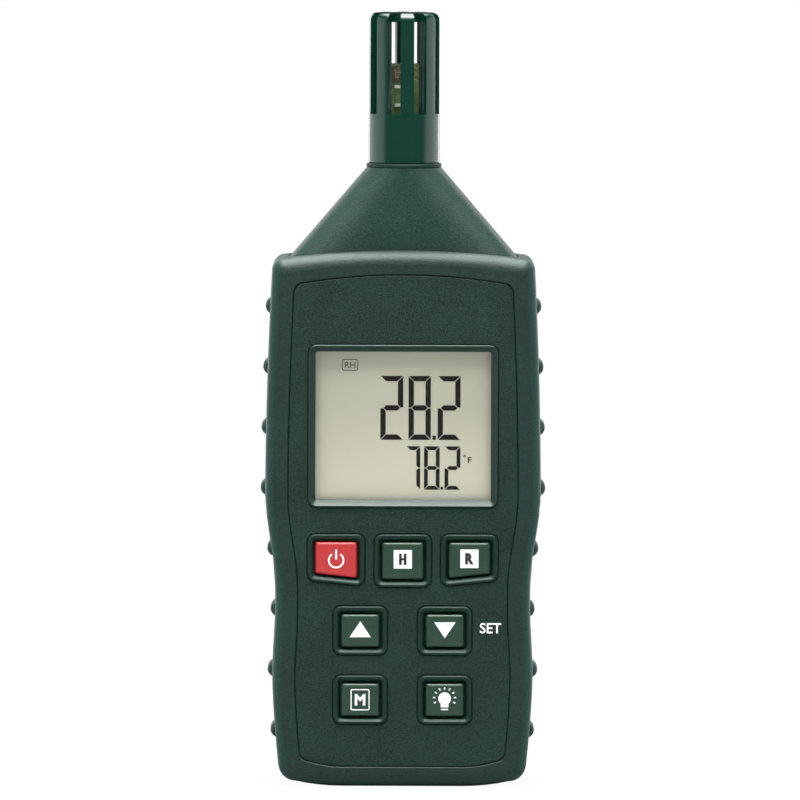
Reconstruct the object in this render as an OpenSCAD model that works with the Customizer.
// Hand-held digital hygro-thermometer, standing on its lower end.
// X runs to the right of the display, -Y faces the reader, +Z is up.
// The origin is the middle of the footprint, on the surface that the meter stands on.

/* [Case] */
// Width of the case across the display end
grip_w = 72.1; // [71.5:0.1:76]
// Width of the case across its waist
waist_w = 66.7; // [66:0.1:70]
// Width of the case across its foot
foot_w = 68.2; // [67:0.1:72]
// Thickness of the moulded walls
wall = 2.2; // [1.8:0.1:2.4]
// Rounding of the front edge
edge_r = 3.4; // [2.6:0.1:4]
// Rounding of the back edge
back_r = 6; // [4.5:0.1:7]
// Depth of the front shell, from the panel to the parting line
front_depth = 12.4; // [12:0.1:13.5]
// Distance from the outline to the groove round the panel
groove_inset = 5.5; // [4.6:0.1:6]
// Width of that groove
groove_w = 0.5; // [0.4:0.1:0.8]
// Height of the raised rings round the keys and the display
ring_h = 0.6; // [0.4:0.1:0.9]

/* [Side knobs] */
// Number of knobs down each side
knob_count = 8; // [4:1:8]
// Height of the lowest knob above the surface
knob_first = 14; // [12:0.5:18]
// Distance between two knobs
knob_pitch = 15.96; // [12:0.01:16.4]
// How far a knob stands out of the side wall
knob_out = 1.2; // [0.8:0.1:1.6]
// Length of a knob from front to back
knob_len = 13; // [8:0.5:15]

/* [Sensor head] */
// Width of the cone where it meets the shoulder
head_w = 60.2; // [56:0.2:62]
// Depth of the cone where it meets the shoulder
head_d = 26; // [24:0.5:27]
// Height of the cone above the shoulder
head_rise = 20.9; // [16:0.1:26]
// Diameter of the neck at the top of the cone
neck_d = 19.6; // [19:0.1:22]
// Height of the ring on the neck
neck_ring_h = 1.7; // [1.2:0.1:2.5]
// Diameter of the guard's plain sleeve
guard_d = 18.7; // [18:0.1:19.4]
// Height of the guard above the neck ring
guard_h = 39.5; // [34:0.5:46]
// Height of the plain sleeve at the guard's foot
sleeve_h = 12.9; // [10:0.1:16]
// Number of slots round the guard
slot_count = 8; // [6:1:10]
// Width of a slot
slot_w = 3.6; // [3:0.1:3.8]
// Turn of the guard on its neck, in degrees
guard_turn = 2.5; // [-10:0.5:10]

/* [Display] */
// Width of the opening over the display
window_w = 46.3; // [40:0.1:47]
// Height of the opening over the display
window_h = 39.8; // [36:0.1:41]
// Distance from the upper row of keys up to the middle of the display
window_rise = 35.8; // [35:0.1:40]
// Distance from the middle of the display up to the shoulder
window_drop = 45.9; // [44:0.1:47]
// Width of the raised ring round the display
window_band = 1.85; // [1.5:0.05:2.2]
// Thickness of the lens
lens_t = 1.2; // [1:0.1:1.5]
// Thickness of the display glass
glass_t = 2; // [1.6:0.1:2.2]

/* [Keys] */
// Width of the keys in the upper row
top_key_w = 10.9; // [10:0.1:11.2]
// Height of the middle key in the upper row
top_key_h = 9.8; // [9:0.1:10.2]
// Width of the keys in the two lower rows
key_w = 10.1; // [9:0.1:11]
// Height of the keys in the two lower rows
key_h = 8.7; // [8:0.1:9]
// Distance between columns in the upper row
top_pitch = 17.5; // [17:0.1:18]
// Distance between columns in the two lower rows
key_pitch = 22.2; // [20:0.1:24]
// Height of the middle of the upper row above the surface
row_1 = 59.2; // [58.6:0.1:60]
// Height of the middle row
row_2 = 40.8; // [40:0.1:41.4]
// Height of the lower row
row_3 = 22.6; // [22:0.1:23.4]
// Width of the raised ring round a key
key_band = 2.1; // [1.8:0.1:2.2]
// Distance that a key travels
key_travel = 1; // [0.6:0.1:1.2]
// Clearance round and behind a key
key_gap = 0.3; // [0.25:0.05:0.4]

/* [Battery] */
// Width of the block battery
batt_w = 26.5; // [25:0.1:27]
// Depth of the block battery
batt_d = 17.5; // [16.5:0.1:17.6]
// Height of the block battery without its terminals
batt_h = 48.5; // [46:0.1:49]
// Thickness of the foam pad in front of the battery
pad_t = 1.4; // [1:0.1:1.5]
// Room between the battery and its cover
cover_room = 2.15; // [1.6:0.05:3]
// Clearance between the battery cover and its recess
cover_gap = 0.3; // [0.25:0.05:0.5]

/* [Tilt stand] */
// Width of the tilt stand
stand_w = 36; // [30:0.5:36.5]
// Height of the tilt stand
stand_h = 40; // [34:0.5:41]
// Thickness of the tilt stand
stand_t = 3.2; // [2.8:0.1:3.4]
// Width and height of the window in the stand
stand_window = 15; // [14.5:0.1:17]
// Radius of the stand's trunnions
trunnion_r = 1.2; // [1:0.05:1.3]
// Running clearance of a trunnion in its hole
trunnion_gap = 0.06; // [0.04:0.01:0.1]
// Radius of the thread in the tripod insert
tripod_r = 2.6; // [2.5:0.05:3]
// Length of the tripod insert
tripod_l = 9; // [7:0.5:10]

/* [Boards and screws] */
// Distance from the inside of the front wall to the main board
board_drop = 6.8; // [6.6:0.1:7.2]
// Thickness of the circuit boards
board_t = 1.6; // [1.2:0.1:1.8]
// Radius of the case screws' shanks
case_screw_r = 1.4; // [1.2:0.05:1.5]
// Length of the case screws' shanks
case_screw_l = 14; // [12:0.5:16]
// Radius of the board screws' shanks
board_screw_r = 1; // [0.9:0.05:1.1]

/* [Hidden] */
$fn = 48;

green = [0.19, 0.27, 0.24];
gloss_green = [0.07, 0.26, 0.2];
key_green = [0.2, 0.32, 0.26];
key_red = [0.84, 0.27, 0.28];
steel = [0.72, 0.73, 0.74];
board_green = [0.1, 0.38, 0.2];
black = [0.1, 0.1, 0.11];
white = [0.92, 0.92, 0.9];

// Fits: seat is between pieces that stay together, slack is round screws and wires
seat = 0.1;
slack = 0.3;
eps = 0.02;
// How far a boss or rib reaches into the wall that carries it
root = 0.6;

// Height at the middle of the shoulder, from the rows of keys and the display up
win_z = row_1 + window_rise;
case_h = win_z + window_drop;

// Depth, from the rings on the panel through the battery bay to its cover
bay_lift = 0.2;
bay_floor_t = 1.4;
cover_sink = 0.05;
case_d = ring_h + front_depth + bay_lift + bay_floor_t + 2 * seat + pad_t + batt_d
    + cover_room + wall - cover_sink;

// Places along the depth
y_front = -case_d / 2;
y_back = case_d / 2;
y_panel = y_front + ring_h;
y_in = y_panel + wall;
y_split = y_panel + front_depth;
y_board = y_in + board_drop;
y_inback = y_back - wall;

// Outline of the case
grip_hw = grip_w / 2;
waist_hw = waist_w / 2;
foot_hw = foot_w / 2;
foot_z = 29;
waist_lo = 46;
waist_hi = 52;
grip_z = 77;
top_draw = 1.95;
foot_draw = 2.2;
side_draft = 0.25;
land_hw = 16;
foot_rise = 1.3;
foot_r = 4.5;
shoulder_drop = 2.1;
shoulder_r = 3.2;
end_ratio = 0.6;

function ease(a, b, t) = a + (b - a) * (1 - cos(180 * t)) / 2;
function half_w(z) =
    z > grip_z ? grip_hw - top_draw * pow((z - grip_z) / (case_h - grip_z), 1.8)
    : z > waist_hi ? ease(waist_hw, grip_hw, (z - waist_hi) / (grip_z - waist_hi))
    : z > waist_lo ? waist_hw
    : z > foot_z ? ease(foot_hw, waist_hw, (z - foot_z) / (waist_lo - foot_z))
    : foot_hw - foot_draw * pow((foot_z - z) / foot_z, 1.5);

// Right half of the outline, drawn in by dx at the sides and dz at the ends
function half_outline(dx, dz) =
    let (rf = max(foot_r - (dx + dz) / 2, 1.6), rs = max(shoulder_r - (dx + dz) / 2, 1.6),
         zf = foot_rise + dz + rf, zs = case_h - shoulder_drop - dz - rs,
         xf = half_w(zf) - dx - rf, xs = half_w(zs) - dx - rs)
    concat(
        [for (i = [0:3]) let (t = i / 4) [land_hw + (xf - land_hw) * t, dz + foot_rise * t * t]],
        [for (i = [0:5]) [xf + rf * sin(18 * i), zf - rf * cos(18 * i)]],
        [for (i = [1:16]) let (z = zf + (zs - zf) * i / 17) [half_w(z) - dx, z]],
        [for (i = [0:5]) [xs + rs * cos(18 * i), zs + rs * sin(18 * i)]],
        [for (i = [4:-1:1]) [xs * i / 5, case_h - dz - shoulder_drop * i * i / 25]]);
function mirrored(half) = [for (i = [len(half) - 1:-1:0]) [-half[i][0], half[i][1]]];
function outline(dx, dz) =
    let (half = half_outline(dx, dz))
    concat(half, [[0, case_h - dz]], mirrored(half));
function ring_at(y, dx, dz) = [for (p = outline(dx, dz)) [p[0], y, p[1]]];

// Rectangle with rounded corners, whose lower edge may rise by slope towards one side
function soft_rect(w, h, r, slope = 0, n = 4) =
    let (left = -h / 2 + max(-slope, 0), right = -h / 2 + max(slope, 0))
    concat(
        [for (i = [0:n]) [w / 2 - r + r * cos(90 * i / n), h / 2 - r + r * sin(90 * i / n)]],
        [for (i = [0:n]) [-w / 2 + r - r * sin(90 * i / n), h / 2 - r + r * cos(90 * i / n)]],
        [for (i = [0:n]) [-w / 2 + r - r * cos(90 * i / n), left + r - r * sin(90 * i / n)]],
        [for (i = [0:n]) [w / 2 - r + r * sin(90 * i / n), right + r - r * cos(90 * i / n)]]);
function raised(points, y) = [for (p = points) [p[0], y, p[1]]];

// Solid through rings of points that run counter-clockwise seen from the first ring's side
module loft(rings) {
    n = len(rings[0]);
    m = len(rings);
    sides = [for (j = [0:m - 2]) for (i = [0:n - 1])
        let (a = j * n + i, b = j * n + (i + 1) % n)
        each [[a, b, b + n], [a, b + n, a + n]]];
    polyhedron(points = [for (r = rings) each r],
               faces = concat(sides, [[for (i = [n - 1:-1:0]) i]], [[for (i = [0:n - 1]) (m - 1) * n + i]]));
}

// Plate of a flat outline drawn in X and Z, from depth y0 to depth y1
module slab(y0, y1) {
    translate([0, y1, 0])
        rotate([90, 0, 0])
            linear_extrude(y1 - y0)
                children();
}

// Round bar along the depth
module post(x, z, r, y0, y1) {
    translate([x, y1, z])
        rotate([90, 0, 0])
            cylinder(r = r, h = y1 - y0);
}

module box(x0, x1, y0, y1, z0, z1) {
    translate([x0, y0, z0])
        cube([x1 - x0, y1 - y0, z1 - z0]);
}

// Wires lie in a plane across X, so each ring is spanned by X and the normal of the route
function unit(v) = v / norm(v);
function cut_corners(p) = concat([p[0]],
    [for (i = [0:len(p) - 2]) each [0.75 * p[i] + 0.25 * p[i + 1], 0.25 * p[i] + 0.75 * p[i + 1]]],
    [p[len(p) - 1]]);
function route_dir(p, i) =
    unit(p[min(i + 1, len(p) - 1)] - p[max(i - 1, 0)]);
module wire(points, r) {
    route = cut_corners(points);
    loft([for (i = [0:len(route) - 1])
        let (t = route_dir(route, i), v = [0, -t[2], t[1]])
        [for (a = [0:36:324]) route[i] + r * (cos(a) * [1, 0, 0] + sin(a) * v)]]);
}

// Key table: place, size, corner slope and ring of each key
top_edge = row_1 + top_key_h / 2;
outer_h = top_key_h - 0.4;
outer_slope = 1.1;
// Each entry is x, z of the middle, width, height, slope
KEYS = [[-top_pitch, top_edge - outer_h / 2, top_key_w, outer_h, -outer_slope],
        [0, row_1, top_key_w, top_key_h, 0],
        [top_pitch, top_edge - outer_h / 2, top_key_w, outer_h, outer_slope],
        [-key_pitch / 2, row_2, key_w, key_h, 0],
        [key_pitch / 2, row_2, key_w, key_h, 0],
        [-key_pitch / 2, row_3, key_w, key_h, 0],
        [key_pitch / 2, row_3, key_w, key_h, 0]];
ring_r = 2.3;
ring_lip = 1.1;
pocket_d = 1;
key_flange = 1.2;
flange_t = 1.2;
stem_w = 3.6;
y_stem = y_board - key_gap - key_travel;
mat_t = 0.8;
mat_edge = 5.4;
collar_h = 1.4;

module key_shape(k, grow, r) {
    translate([k[0], k[1]])
        polygon(soft_rect(k[2] + 2 * grow, k[3] + 2 * grow, r, k[4]));
}

module key_pocket(k) {
    reach = key_band - ring_lip;
    translate([k[0], 0, k[1]])
        loft([raised(soft_rect(k[2] + 2 * reach + 0.4, k[3] + 2 * reach + 0.4, 1.4, k[4]), y_front - 0.3),
              raised(soft_rect(k[2] + 2 * key_gap, k[3] + 2 * key_gap, 0.6, k[4]), y_panel + pocket_d)]);
}

module key(k) {
    translate([k[0], 0, k[1]]) {
        loft([raised(soft_rect(k[2] - 1, k[3] - 1, 0.5, k[4]), y_front),
              raised(soft_rect(k[2] - 0.25, k[3] - 0.25, 0.5, k[4]), y_front + 0.25),
              raised(soft_rect(k[2], k[3], 0.5, k[4]), y_front + 0.7),
              raised(soft_rect(k[2], k[3], 0.5, k[4]), y_in + key_gap + flange_t)]);
        slab(y_in + key_gap, y_in + key_gap + flange_t)
            polygon(soft_rect(k[2] + 2 * key_flange, k[3] + 2 * key_flange, 0.8, k[4]));
        box(-stem_w / 2, stem_w / 2, y_in + key_gap, y_stem, -stem_w / 2, stem_w / 2);
    }
}

// Screws: places as x and z
case_head_r = 2.6;
case_head_h = 1.8;
case_bore_r = case_head_r + slack;
case_boss_r = case_bore_r + 1.1;
case_post_r = 3.2;
case_top_room = 14.9;
case_top_z = case_h - case_top_room;
case_low_z = 10.7;
case_x = stand_w / 2 + 2 * slack + 1.6 + case_boss_r + 0.2;
CASE_SCREWS = [for (s = [-1, 1]) for (z = [case_low_z, case_top_z]) [s * case_x, z]];
case_seat_y = y_split + case_screw_l - 5;

board_head_r = 1.9;
board_head_h = 1.3;
board_screw_l = 6;
board_boss_r = 2.4;
board_upper_hw = grip_hw - wall - 2.35;
board_lower_hw = waist_hw - wall - 1.95;
board_z0 = 15.5;
board_neck = 7.3;
board_z1 = case_top_z - case_boss_r - 0.7;
board_step_z = row_1 + board_neck;
board_hole_side = 2.5;
board_hole_end = 2.6;
board_hole_low = 3.5;
board_hi_x = board_upper_hw - board_hole_side;
board_lo_x = board_lower_hw - board_hole_end;
BOARD_SCREWS = concat([for (s = [-1, 1]) for (z = [board_z1 - board_hole_end, board_step_z + board_hole_low]) [s * board_hi_x, z]],
                      [for (s = [-1, 1]) [s * board_lo_x, board_z0 + board_hole_low]]);
screw_fit = 0.02;

// Display
lens_w = window_w + 4.4;
lens_h = window_h + 4.4;
frame_t = 1;
glass_w = window_w + 2.4;
glass_h = window_h + 2.4;
y_lens = y_in + seat / 2;
y_glass = y_lens + lens_t + seat / 2;
y_light = y_glass + glass_t + seat / 2;
zebra_h = 1.6;

// Sensor head
head_z1 = case_h + head_rise;
head_z0 = case_h - shoulder_drop - wall - 2.5;
flange_z0 = head_z0 - 1.8;
head_wall = 2;
base_z = case_h - shoulder_drop - 0.3;
head_turns = 5;
front_saddle_hw = 18;
back_saddle_hw = 12;
saddle_h = 2;
spigot_r = guard_d / 2 - 1.75;
spigot_h = 10.5;
neck_bore_r = spigot_r - 1.6;
function super_point(a, hw, hd, n) =
    [hw * sign(cos(a)) * pow(abs(cos(a)), 2 / n), hd * sign(sin(a)) * pow(abs(sin(a)), 2 / n)];
function head_ring(z, hw, hd, n, count = 48) =
    [for (i = [0:count - 1]) let (p = super_point(360 * i / count + 0.001, hw, hd, n)) [p[0], p[1], z]];
// Ring of the cone at a share t of its height, drawn in by inset
function cone_ring(t, inset) =
    let (hw = head_w / 2 + (neck_d / 2 - head_w / 2) * t, hd = head_d / 2 + (neck_d / 2 - head_d / 2) * t)
    head_ring(base_z + (head_z1 - base_z) * t, hw - inset, hd - inset, 4.6 - 2.6 * pow(t, 0.8));

// Guard
guard_z0 = head_z1 + neck_ring_h;
guard_z1 = guard_z0 + guard_h;
slot_z0 = guard_z0 + sleeve_h;
slot_r = guard_d / 2 - 0.15;
cage_r = guard_d / 2 - 1.75;
cap_t = 2.4;
cap_r = 2;

// Sensor board
stalk_w = 7.6;
stalk_t = 1;
holder_z = head_z1 + 4;
holder_h = 5;
stalk_z0 = holder_z - 9;
stalk_drop = 13.4;
stalk_z1 = guard_z1 - stalk_drop;
chip_x = -1.2;
chip_w = 4.4;
chip_h = 4.4;
chip_t = 0.9;
chip_drop = 0.4;
chip_dot_r = 0.8;
chip_dot_t = 0.2;
bead_r = 0.7;
bead_drop = 8;
bead_edge = 1.8;
bead_lead_r = 0.2;
bead_lead_l = 3.4;
bead_lead_pitch = 0.7;
small_part_x = 1.7;
small_part_l = 1.6;
small_part_w = 0.8;
small_part_h = 0.6;
small_part_z = stalk_z1 - 6.1;
small_part_step = 4.9;
plug_w = 4.4;
plug_t = 1.2;
plug_h = 2.8;
plug_z = stalk_z0 + 0.6;

// Battery bay
bay_gap = 1.2;
bay_wall = 1.6;
bay_hw = batt_w / 2 + bay_gap;
bay_z0 = 10.6;
snap_h = 4.4;
bay_z1 = bay_z0 + batt_h + 0.5 + 2.2 + snap_h;
bay_floor_y = y_split + bay_lift;
bay_y = bay_floor_y + bay_floor_t;
batt_y0 = bay_y + seat + pad_t + seat;
batt_y1 = batt_y0 + batt_d;
batt_z0 = bay_z0 + 0.5;
batt_z1 = batt_z0 + batt_h;
terminal_x = 6.35;
terminal_h = 2.9;

// Parts on the back of the main board
processor_x = 10;
processor_w = 12;
processor_t = 1.4;
socket_w = 6.8;
socket_t = 2.8;
socket_h = 3.4;
socket_z1 = board_z1 - 1.6;
capacitor_x = 24;
capacitor_r = 2.4;
capacitor_h = 4.2;
capacitor_pitch = 10;
coil_r = 3;
coil_h = 3.4;
crystal_rise = 8;
crystal_h = 4;
crystal_t = 2.2;
lead_pad_w = 8;
lead_pad_t = 2.6;
lead_pad_h = 3.4;
lead_pad_z = bay_z1 + 4;
buzzer_x = 13;
buzzer_z = win_z - 3;
buzzer_r = 6.2;
buzzer_hole_r = 0.9;
buzzer_t = 3.6;
lead_r = 0.9;
battery_lead_r = 0.7;

// Battery cover
cover_t = wall;
cover_hw = bay_hw + 2.2;
cover_z0 = bay_z0 - 2.2;
cover_z1 = bay_z1 + 9.6;
cover_r = 2.2;
cover_y0 = y_back - cover_t + cover_sink;
cover_y1 = y_back - 0.1;
ledge_t = 1.8;
cover_screw_z = cover_z1 - 4.6;
cover_screw_r = 1.3;
cover_screw_l = 9;
cover_head_r = 2.5;
cover_boss_r = 3.2;
rib_t = 1.4;
tongue_x = 8;
tongue_w = 6;

// Tilt stand
pivot_z = case_top_z - case_boss_r + 0.1 - stand_t / 2;
stand_gap = slack;
pocket_y = y_back - stand_t - 2 * stand_gap + 0.1;
tray_t = 1.6;
pivot_y = pocket_y + stand_gap + stand_t / 2;
stand_z0 = pivot_z + stand_t / 2 - stand_h;
tray_hw = stand_w / 2 + stand_gap;
tripod_z = pivot_z - stand_h / 2;
tripod_boss_r = stand_window / 2 - 1.4;
insert_r = tripod_boss_r - 1.8;

module case_front_solid() {
    loft(concat([for (i = [0:4]) let (a = 22.5 * i)
                    ring_at(y_panel + edge_r * (1 - cos(a)), edge_r * (1 - sin(a)), edge_r * (1 - sin(a)))],
                [ring_at(y_split, -side_draft, 0)]));
}

module case_back_solid() {
    loft(concat([ring_at(y_split, -side_draft, 0)],
                [for (i = [0:5]) let (a = 18 * i, d = back_r * (1 - cos(a)))
                    ring_at(y_back - back_r + back_r * sin(a), d, d * end_ratio)]));
}

// Space that the head needs through the case's top wall
module head_opening() {
    hw = head_w / 2 + seat;
    hd = head_d / 2 + seat;
    n = 4.6;
    loft([head_ring(case_h + 1, hw, hd, n), head_ring(head_z0 - 1, hw, hd, n)]);
}

module front_shell() {
    color(green)
    difference() {
        union() {
            difference() {
                case_front_solid();
                loft([ring_at(y_in, wall + 1, wall + 1),
                      ring_at(y_in + 1.4, wall, wall),
                      ring_at(y_split + 1, wall - side_draft, wall)]);
            }
            for (k = KEYS)
                slab(y_front, y_panel + root)
                    key_shape(k, key_band, ring_r);
            slab(y_front, y_panel + root)
                translate([0, win_z])
                    polygon(soft_rect(window_w + 2 * window_band, window_h + 2 * window_band, ring_r));
            for (p = CASE_SCREWS)
                post(p[0], p[1], case_post_r, y_in - root, y_split - seat);
            for (p = BOARD_SCREWS)
                post(p[0], p[1], board_boss_r, y_in - root, y_board);
            // Saddle under the head's flange
            box(-front_saddle_hw, front_saddle_hw, y_in - root, -head_d / 2,
                flange_z0 - saddle_h, flange_z0 - seat);
        }
        slab(y_panel - 1, y_panel + 0.5)
            difference() {
                polygon(outline(groove_inset, groove_inset));
                polygon(outline(groove_inset + groove_w, groove_inset + groove_w));
            }
        for (k = KEYS) {
            key_pocket(k);
            slab(y_panel + pocket_d - eps, y_in + eps)
                key_shape(k, key_gap, 0.6);
        }
        translate([0, 0, win_z])
            loft([raised(soft_rect(window_w + 1.7, window_h + 1.7, 1.5), y_front - 0.3),
                  raised(soft_rect(window_w, window_h, 0.9), y_panel + pocket_d)]);
        slab(y_panel + pocket_d - eps, y_in + eps)
            translate([0, win_z])
                polygon(soft_rect(window_w, window_h, 0.9));
        for (p = CASE_SCREWS)
            post(p[0], p[1], case_screw_r + screw_fit, y_in + 2, y_split + 1);
        for (p = BOARD_SCREWS)
            post(p[0], p[1], board_screw_r + screw_fit, y_in + 1, y_board + 1);
        head_opening();
    }
}

// Knob on the side wall: a bar with round ends that lies along the depth
module side_knob(side, z) {
    r = (pow(1.95, 2) + pow(knob_out, 2)) / (2 * knob_out);
    x = side * (half_w(z) + side_draft + knob_out - r);
    y = y_split + 0.4 + r;
    translate([x, y, z]) {
        rotate([-90, 0, 0])
            cylinder(r = r, h = knob_len - 2 * r, $fn = 24);
        sphere(r = r, $fn = 24);
        translate([0, knob_len - 2 * r, 0])
            sphere(r = r, $fn = 24);
    }
}

module cover_shape(grow) {
    translate([0, (cover_z0 + cover_z1) / 2])
        polygon(soft_rect(2 * (cover_hw + grow), cover_z1 - cover_z0 + 2 * grow, cover_r));
}

module stand_pocket_shape(grow) {
    z0 = stand_z0 - stand_gap - grow;
    z1 = pivot_z + stand_t / 2 + stand_gap + grow;
    translate([0, (z0 + z1) / 2])
        square([2 * (tray_hw + grow), z1 - z0], center = true);
}

module back_shell() {
    color(green)
    difference() {
        union() {
            difference() {
                case_back_solid();
                loft([ring_at(y_split - 1, wall - side_draft, wall),
                      ring_at(y_back - back_r, wall, wall),
                      ring_at(y_back - back_r / 2, wall + 0.13 * back_r, wall + 0.08 * back_r),
                      ring_at(y_inback, wall + 0.8 * back_r, wall + 0.48 * back_r)]);
            }
            // Battery bay, with the ledge that the cover rests on
            box(-bay_hw - bay_wall, bay_hw + bay_wall, bay_floor_y, y_inback + root,
                bay_z0 - bay_wall, bay_z1 + bay_wall);
            slab(cover_y0 - ledge_t, y_inback + root)
                cover_shape(cover_gap + bay_wall);
            post(0, cover_screw_z, cover_boss_r, cover_y0 - cover_screw_l - 1, y_inback);
            // Tray of the stand's pocket and the boss of the tripod insert
            slab(pocket_y - tray_t, y_inback + root)
                stand_pocket_shape(tray_t);
            for (p = CASE_SCREWS)
                post(p[0], p[1], case_boss_r, y_split, y_inback + root);
            for (side = [-1, 1])
                for (i = [0:knob_count - 1])
                    side_knob(side, knob_first + knob_pitch * i);
            // Saddle under the head's flange
            box(-back_saddle_hw, back_saddle_hw, head_d / 2, y_inback + root,
                flange_z0 - saddle_h, flange_z0 - seat);
        }
        slab(cover_y0 - 0.05, y_back + 1)
            cover_shape(cover_gap);
        box(-bay_hw, bay_hw, bay_y, y_back, bay_z0, bay_z1);
        // Notch for the battery leads
        box(-3.6, 3.6, bay_floor_y - 1, bay_y + 4, bay_z1 - 4, bay_z1 + bay_wall + 1);
        post(0, cover_screw_z, cover_screw_r + slack, cover_y0 - cover_screw_l, y_back);
        difference() {
            slab(pocket_y, y_back + 1)
                stand_pocket_shape(0);
            post(0, tripod_z, tripod_boss_r, pocket_y - 1, y_back);
        }
        translate([-tray_hw - tray_t - 1, pivot_y, pivot_z])
            rotate([0, 90, 0])
                cylinder(r = trunnion_r + trunnion_gap, h = 2 * (tray_hw + tray_t + 1));
        post(0, tripod_z, insert_r + seat / 2, y_back - tripod_l - seat, y_back + 1);
        for (p = CASE_SCREWS) {
            post(p[0], p[1], case_bore_r, case_seat_y, y_back + 1);
            post(p[0], p[1], case_screw_r + slack, y_split - 1, case_seat_y + eps);
        }
        head_opening();
    }
    color(green)
        difference() {
            post(0, tripod_z, tripod_boss_r, y_back - tripod_l - 2.5, y_back);
            post(0, tripod_z, insert_r + seat / 2, y_back - tripod_l - seat, y_back + 1);
        }
}

module sensor_head() {
    color(green)
    difference() {
        union() {
            loft(concat([for (i = [head_turns:-1:0]) cone_ring(i / head_turns, 0)],
                        [head_ring(flange_z0, head_w / 2, head_d / 2, 4.6)]));
            loft([head_ring(head_z0, head_w / 2 + 0.8, head_d / 2 + 1.5, 4.6),
                  head_ring(flange_z0, head_w / 2 + 0.8, head_d / 2 + 1.5, 4.6)]);
            translate([0, 0, head_z1 - eps])
                cylinder(r = spigot_r, h = spigot_h + eps);
        }
        loft(concat([for (i = [head_turns - 1:-1:0]) cone_ring(i / head_turns, head_wall)],
                    [head_ring(flange_z0 - 1, head_w / 2 - head_wall, head_d / 2 - head_wall, 4.6)]));
        translate([0, 0, flange_z0])
            cylinder(r = neck_bore_r, h = head_z1 - flange_z0 + spigot_h + 1);
    }
}

module neck_ring() {
    color(gloss_green)
    translate([0, 0, head_z1])
        difference() {
            cylinder(d = neck_d + 0.2, h = neck_ring_h);
            translate([0, 0, -1])
                cylinder(r = spigot_r + seat, h = neck_ring_h + 2);
        }
}

module guard_profile() {
    difference() {
        union() {
            translate([0, guard_z0])
                square([guard_d / 2, sleeve_h]);
            translate([0, slot_z0 - eps])
                square([slot_r, guard_h - sleeve_h - cap_r + eps]);
            translate([0, guard_z1 - cap_r - eps])
                square([slot_r - cap_r, cap_r + eps]);
            translate([slot_r - cap_r, guard_z1 - cap_r])
                intersection() {
                    circle(r = cap_r);
                    square(cap_r);
                }
        }
        translate([-1, guard_z0 - 1])
            square([spigot_r + seat + 1, spigot_h + 1 - neck_ring_h + 0.5]);
        translate([-1, guard_z0])
            square([cage_r + 1, guard_h - cap_t]);
    }
}

module sensor_guard() {
    color(gloss_green)
    difference() {
        rotate_extrude($fn = 96)
            guard_profile();
        for (i = [0:slot_count - 1])
            rotate([0, 0, guard_turn + 360 * (i + 0.5) / slot_count - 90])
                translate([cage_r - 2, -slot_w / 2, slot_z0])
                    cube([6, slot_w, guard_h]);
    }
}

module sensor_holder() {
    color(black)
    difference() {
        translate([0, 0, holder_z])
            cylinder(r = neck_bore_r - seat / 2, h = holder_h);
        translate([-stalk_w / 2 - seat / 2, -stalk_t / 2 - seat / 2, holder_z - 1])
            cube([stalk_w + seat, stalk_t + seat, holder_h + 2]);
    }
}

module sensor_board() {
    color(board_green)
    box(-stalk_w / 2, stalk_w / 2, -stalk_t / 2, stalk_t / 2, stalk_z0, stalk_z1);
}

module humidity_sensor() {
    color("saddlebrown") {
        z1 = stalk_z1 - chip_drop;
        box(chip_x - chip_w / 2, chip_x + chip_w / 2, -stalk_t / 2 - chip_t, -stalk_t / 2, z1 - chip_h, z1);
        post(chip_x, z1 - chip_h / 2, chip_dot_r, -stalk_t / 2 - chip_t - chip_dot_t, -stalk_t / 2);
    }
}

module temperature_sensor() {
    color(black) {
        x = stalk_w / 2 - bead_edge;
        z = stalk_z1 - bead_drop;
        translate([x, -stalk_t / 2 - bead_r, z])
            sphere(r = bead_r, $fn = 24);
        for (s = [-1, 1])
            translate([x + s * bead_lead_pitch / 2, -stalk_t / 2 - 1.25 * bead_lead_r, z - bead_lead_l - 0.1])
                cylinder(r = bead_lead_r, h = bead_lead_l, $fn = 16);
    }
}

// Small parts soldered to the sensor board
module sensor_parts() {
    color(white) {
        for (z = [small_part_z, small_part_z - small_part_step])
            box(-small_part_x - small_part_l / 2, -small_part_x + small_part_l / 2,
                -stalk_t / 2 - small_part_h, -stalk_t / 2, z - small_part_w / 2, z + small_part_w / 2);
        box(-plug_w / 2, plug_w / 2, stalk_t / 2, stalk_t / 2 + plug_t, plug_z, plug_z + plug_h);
    }
}

// Lead from the sensor board down to the socket on the main board
module sensor_lead() {
    color(black)
    wire([[0, stalk_t / 2 + plug_t - 0.1, plug_z],
          [0, stalk_t / 2 + plug_t - 0.1, head_z0 + 4],
          [0, y_board + board_t + socket_t / 2, board_z1 + 3],
          [0, y_board + board_t + socket_t / 2, socket_z1 + 0.2]], lead_r);
}

module display_lens() {
    color([0.8, 0.84, 0.8, 0.3])
    slab(y_lens, y_lens + lens_t)
        translate([0, win_z])
            polygon(soft_rect(lens_w, lens_h, 1.5));
}

module display_frame() {
    color(black)
    slab(y_glass, y_board - seat)
        translate([0, win_z])
            difference() {
                square([lens_w, lens_h], center = true);
                square([lens_w - 2 * frame_t, lens_h - 2 * frame_t], center = true);
            }
}

module display_glass() {
    color([0.72, 0.72, 0.64])
    slab(y_glass, y_glass + glass_t)
        translate([0, win_z])
            square([glass_w - 0.2, glass_h - 0.2], center = true);
}

module backlight() {
    color(white)
    slab(y_light, y_board - seat)
        translate([0, win_z])
            square([glass_w - 0.2, glass_h - 0.2 - 2 * zebra_h - 2 * seat], center = true);
}

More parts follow.
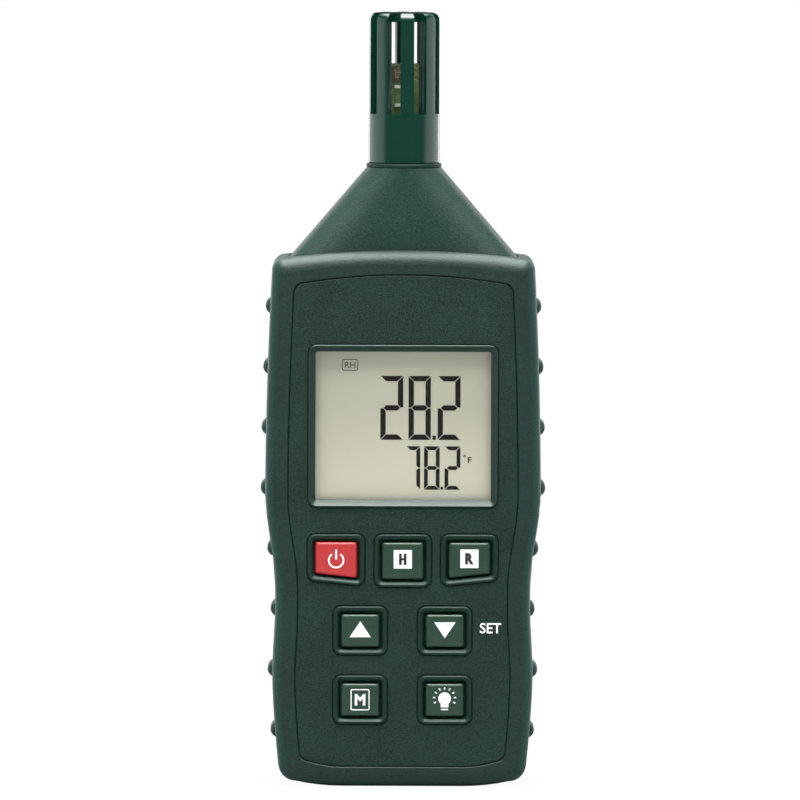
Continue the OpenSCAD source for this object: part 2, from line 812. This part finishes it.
// Rubber strips that carry the signals from the board to the display glass
module zebra_strips() {
    color(black)
    for (s = [-1, 1])
        slab(y_light, y_board - seat)
            translate([0, win_z + s * (glass_h / 2 - 0.1 - zebra_h / 2)])
                square([glass_w - 6, zebra_h], center = true);
}

module main_board() {
    color(board_green)
    difference() {
        slab(y_board, y_board + board_t)
            polygon([[-board_lower_hw, board_z0], [board_lower_hw, board_z0],
                     [board_lower_hw, board_step_z - 2], [board_upper_hw, board_step_z + 0.3],
                     [board_upper_hw, board_z1], [-board_upper_hw, board_z1],
                     [-board_upper_hw, board_step_z + 0.3], [-board_lower_hw, board_step_z - 2]]);
        for (p = BOARD_SCREWS)
            post(p[0], p[1], board_screw_r + slack / 2, y_board - 1, y_board + board_t + 1);
    }
}

module processor() {
    color(black)
    slab(y_board + board_t, y_board + board_t + processor_t)
        translate([processor_x, win_z])
            square(processor_w, center = true);
}

// Sensor socket, crystal, capacitors and backlight coil on the back of the main board
module board_parts() {
    y = y_board + board_t;
    color(steel) {
        box(-socket_w / 2, socket_w / 2, y, y + socket_t, socket_z1 - socket_h, socket_z1);
        for (z = [win_z - capacitor_pitch, win_z])
            post(capacitor_x, z, capacitor_r, y, y + capacitor_h);
        post(-capacitor_x, win_z + crystal_rise, coil_r, y, y + coil_h);
        box(-socket_w / 2, socket_w / 2, y, y + crystal_t,
            win_z + crystal_rise, win_z + crystal_rise + crystal_h);
        box(-lead_pad_w / 2, lead_pad_w / 2, y, y + lead_pad_t, lead_pad_z, lead_pad_z + lead_pad_h);
    }
}

module buzzer() {
    color(black)
    difference() {
        post(-buzzer_x, buzzer_z, buzzer_r, y_board + board_t, y_board + board_t + buzzer_t);
        post(-buzzer_x, buzzer_z, buzzer_hole_r,
            y_board + board_t + buzzer_t / 2, y_board + board_t + buzzer_t + 1);
    }
}

// Rubber mat on the main board, with a collar round each key's stem
module key_mat() {
    color([0.75, 0.75, 0.73])
    difference() {
        union() {
            slab(y_board - mat_t, y_board)
                translate([0, (board_z0 + board_step_z - 1) / 2])
                    square([2 * (board_lower_hw - mat_edge), board_step_z - board_z0 - 1], center = true);
            for (k = KEYS)
                slab(y_board - mat_t - collar_h, y_board - mat_t + 0.1)
                    key_shape(k, -1, 0.8);
        }
        for (k = KEYS)
            slab(y_board - 3, y_board + 1)
                translate([k[0], k[1]])
                    square(stem_w + 2 * key_gap, center = true);
    }
}

module power_key() { color(key_red) key(KEYS[0]); }
module hold_key() { color(key_green) key(KEYS[1]); }
module record_key() { color(key_green) key(KEYS[2]); }
module up_key() { color(key_green) key(KEYS[3]); }
module down_key() { color(key_green) key(KEYS[4]); }
module mode_key() { color(key_green) key(KEYS[5]); }
module light_key() { color(key_green) key(KEYS[6]); }

module battery() {
    color([0.2, 0.2, 0.22]) {
        translate([0, (batt_y0 + batt_y1) / 2, batt_z0])
            linear_extrude(batt_h)
                polygon(soft_rect(batt_w, batt_d, 2.4));
        translate([-terminal_x, (batt_y0 + batt_y1) / 2, batt_z1 - eps])
            cylinder(r = 2.9, h = terminal_h);
        translate([terminal_x, (batt_y0 + batt_y1) / 2, batt_z1 - eps])
            cylinder(r = 4, h = terminal_h);
    }
}

module battery_snap() {
    y = (batt_y0 + batt_y1) / 2;
    color(black)
    difference() {
        translate([0, y, batt_z1 + seat])
            linear_extrude(snap_h)
                polygon(soft_rect(batt_w - 1, 11.5, 2));
        translate([-terminal_x, y, batt_z1 - 1])
            cylinder(r = 2.9 + seat, h = terminal_h + 1 + seat);
        translate([terminal_x, y, batt_z1 - 1])
            cylinder(r = 4 + seat, h = terminal_h + 1 + seat);
    }
}

// Two leads from the snap connector through the notch to the main board
module battery_leads() {
    y = (batt_y0 + batt_y1) / 2;
    color("firebrick")
    for (s = [-1, 1])
        wire([[s * 1.6, y - 5.75, batt_z1 + 3],
              [s * 1.6, bay_y + 1.6, batt_z1 + 3],
              [s * 1.6, bay_floor_y + 0.4, bay_z1 + bay_wall + 0.2],
              [s * 1.6, y_board + board_t + lead_pad_t / 2, lead_pad_z - 1],
              [s * 1.6, y_board + board_t + lead_pad_t / 2, lead_pad_z]], battery_lead_r);
}

module battery_pad() {
    color([0.25, 0.25, 0.26])
    box(-batt_w / 2 + 2, batt_w / 2 - 2, bay_y + seat / 2, bay_y + seat / 2 + pad_t, batt_z0 + 6, batt_z1 - 6);
}

module battery_cover() {
    rib_h = cover_y0 - batt_y1 - slack;
    color(green)
    difference() {
        union() {
            slab(cover_y0, cover_y1)
                cover_shape(0);
            // Ribs that hold the battery down on its pad
            for (z = [batt_z0 + batt_h / 5, batt_z1 - batt_h / 5])
                box(-batt_w / 3, batt_w / 3, cover_y0 - rib_h, cover_y0 + eps, z - rib_t / 2, z + rib_t / 2);
            // Tongues that find the lower edge of the bay
            for (s = [-1, 1])
                box(s * tongue_x - tongue_w / 2, s * tongue_x + tongue_w / 2, cover_y0 - rib_h, cover_y0 + eps,
                    bay_z0 + slack, bay_z0 + slack + rib_t);
        }
        post(0, cover_screw_z, cover_screw_r + slack, cover_y0 - 1, y_back + 1);
        post(0, cover_screw_z, cover_head_r + slack, cover_y1 - 1.4, y_back + 1);
        // Grip grooves
        for (i = [0:4])
            box(-8, 8, cover_y1 - 0.5, y_back + 1, cover_z0 + 6 + 2.4 * i, cover_z0 + 7.2 + 2.4 * i);
    }
}

module screw(x, z, shank_r, head_r, head_h, y_seat, l) {
    difference() {
        union() {
            post(x, z, shank_r, y_seat - l, y_seat + eps);
            post(x, z, head_r, y_seat, y_seat + head_h);
        }
        for (a = [0, 90])
            translate([x, y_seat + head_h, z])
                rotate([0, a, 0])
                    cube([head_r * 1.2, head_h, head_r * 0.28], center = true);
    }
}

module cover_screw() {
    color(steel)
    screw(0, cover_screw_z, cover_screw_r, cover_head_r, 1.1, cover_y1 - 1.4 + slack / 3, cover_screw_l - 1);
}

module tilt_stand() {
    z1 = pivot_z;
    y0 = pivot_y - stand_t / 2;
    y1 = pivot_y + stand_t / 2;
    color(green)
    difference() {
        union() {
            slab(y0, y1)
                difference() {
                    translate([0, (stand_z0 + z1) / 2])
                        polygon(soft_rect(stand_w, z1 - stand_z0, 1.5));
                    translate([0, tripod_z])
                        square(stand_window, center = true);
                }
            translate([-stand_w / 2, pivot_y, pivot_z])
                rotate([0, 90, 0])
                    cylinder(r = stand_t / 2, h = stand_w);
            translate([-stand_w / 2 - stand_gap - tray_t + 0.2, pivot_y, pivot_z])
                rotate([0, 90, 0])
                    cylinder(r = trunnion_r, h = stand_w + 2 * (stand_gap + tray_t - 0.2));
        }
        // Finger notch at the free edge
        box(-6, 6, y0 + 1.4, y1 + 1, stand_z0 - 1, stand_z0 + 3.2);
    }
}

module tripod_insert() {
    color([0.78, 0.62, 0.3])
    difference() {
        post(0, tripod_z, insert_r, y_back - tripod_l, y_back - seat);
        post(0, tripod_z, tripod_r, y_back - tripod_l - 1, y_back + 1);
    }
}

module case_screws() {
    color(steel)
    for (p = CASE_SCREWS)
        screw(p[0], p[1], case_screw_r, case_head_r, case_head_h, case_seat_y, case_screw_l);
}

module board_screws() {
    color(steel)
    for (p = BOARD_SCREWS)
        screw(p[0], p[1], board_screw_r, board_head_r, board_head_h, y_board + board_t, board_screw_l);
}

front_shell();
back_shell();
sensor_head();
neck_ring();
sensor_guard();
sensor_holder();
sensor_board();
humidity_sensor();
temperature_sensor();
sensor_parts();
sensor_lead();
display_lens();
display_frame();
display_glass();
backlight();
zebra_strips();
main_board();
processor();
board_parts();
buzzer();
key_mat();
power_key();
hold_key();
record_key();
up_key();
down_key();
mode_key();
light_key();
battery();
battery_snap();
battery_leads();
battery_pad();
battery_cover();
cover_screw();
tilt_stand();
tripod_insert();
case_screws();
board_screws();
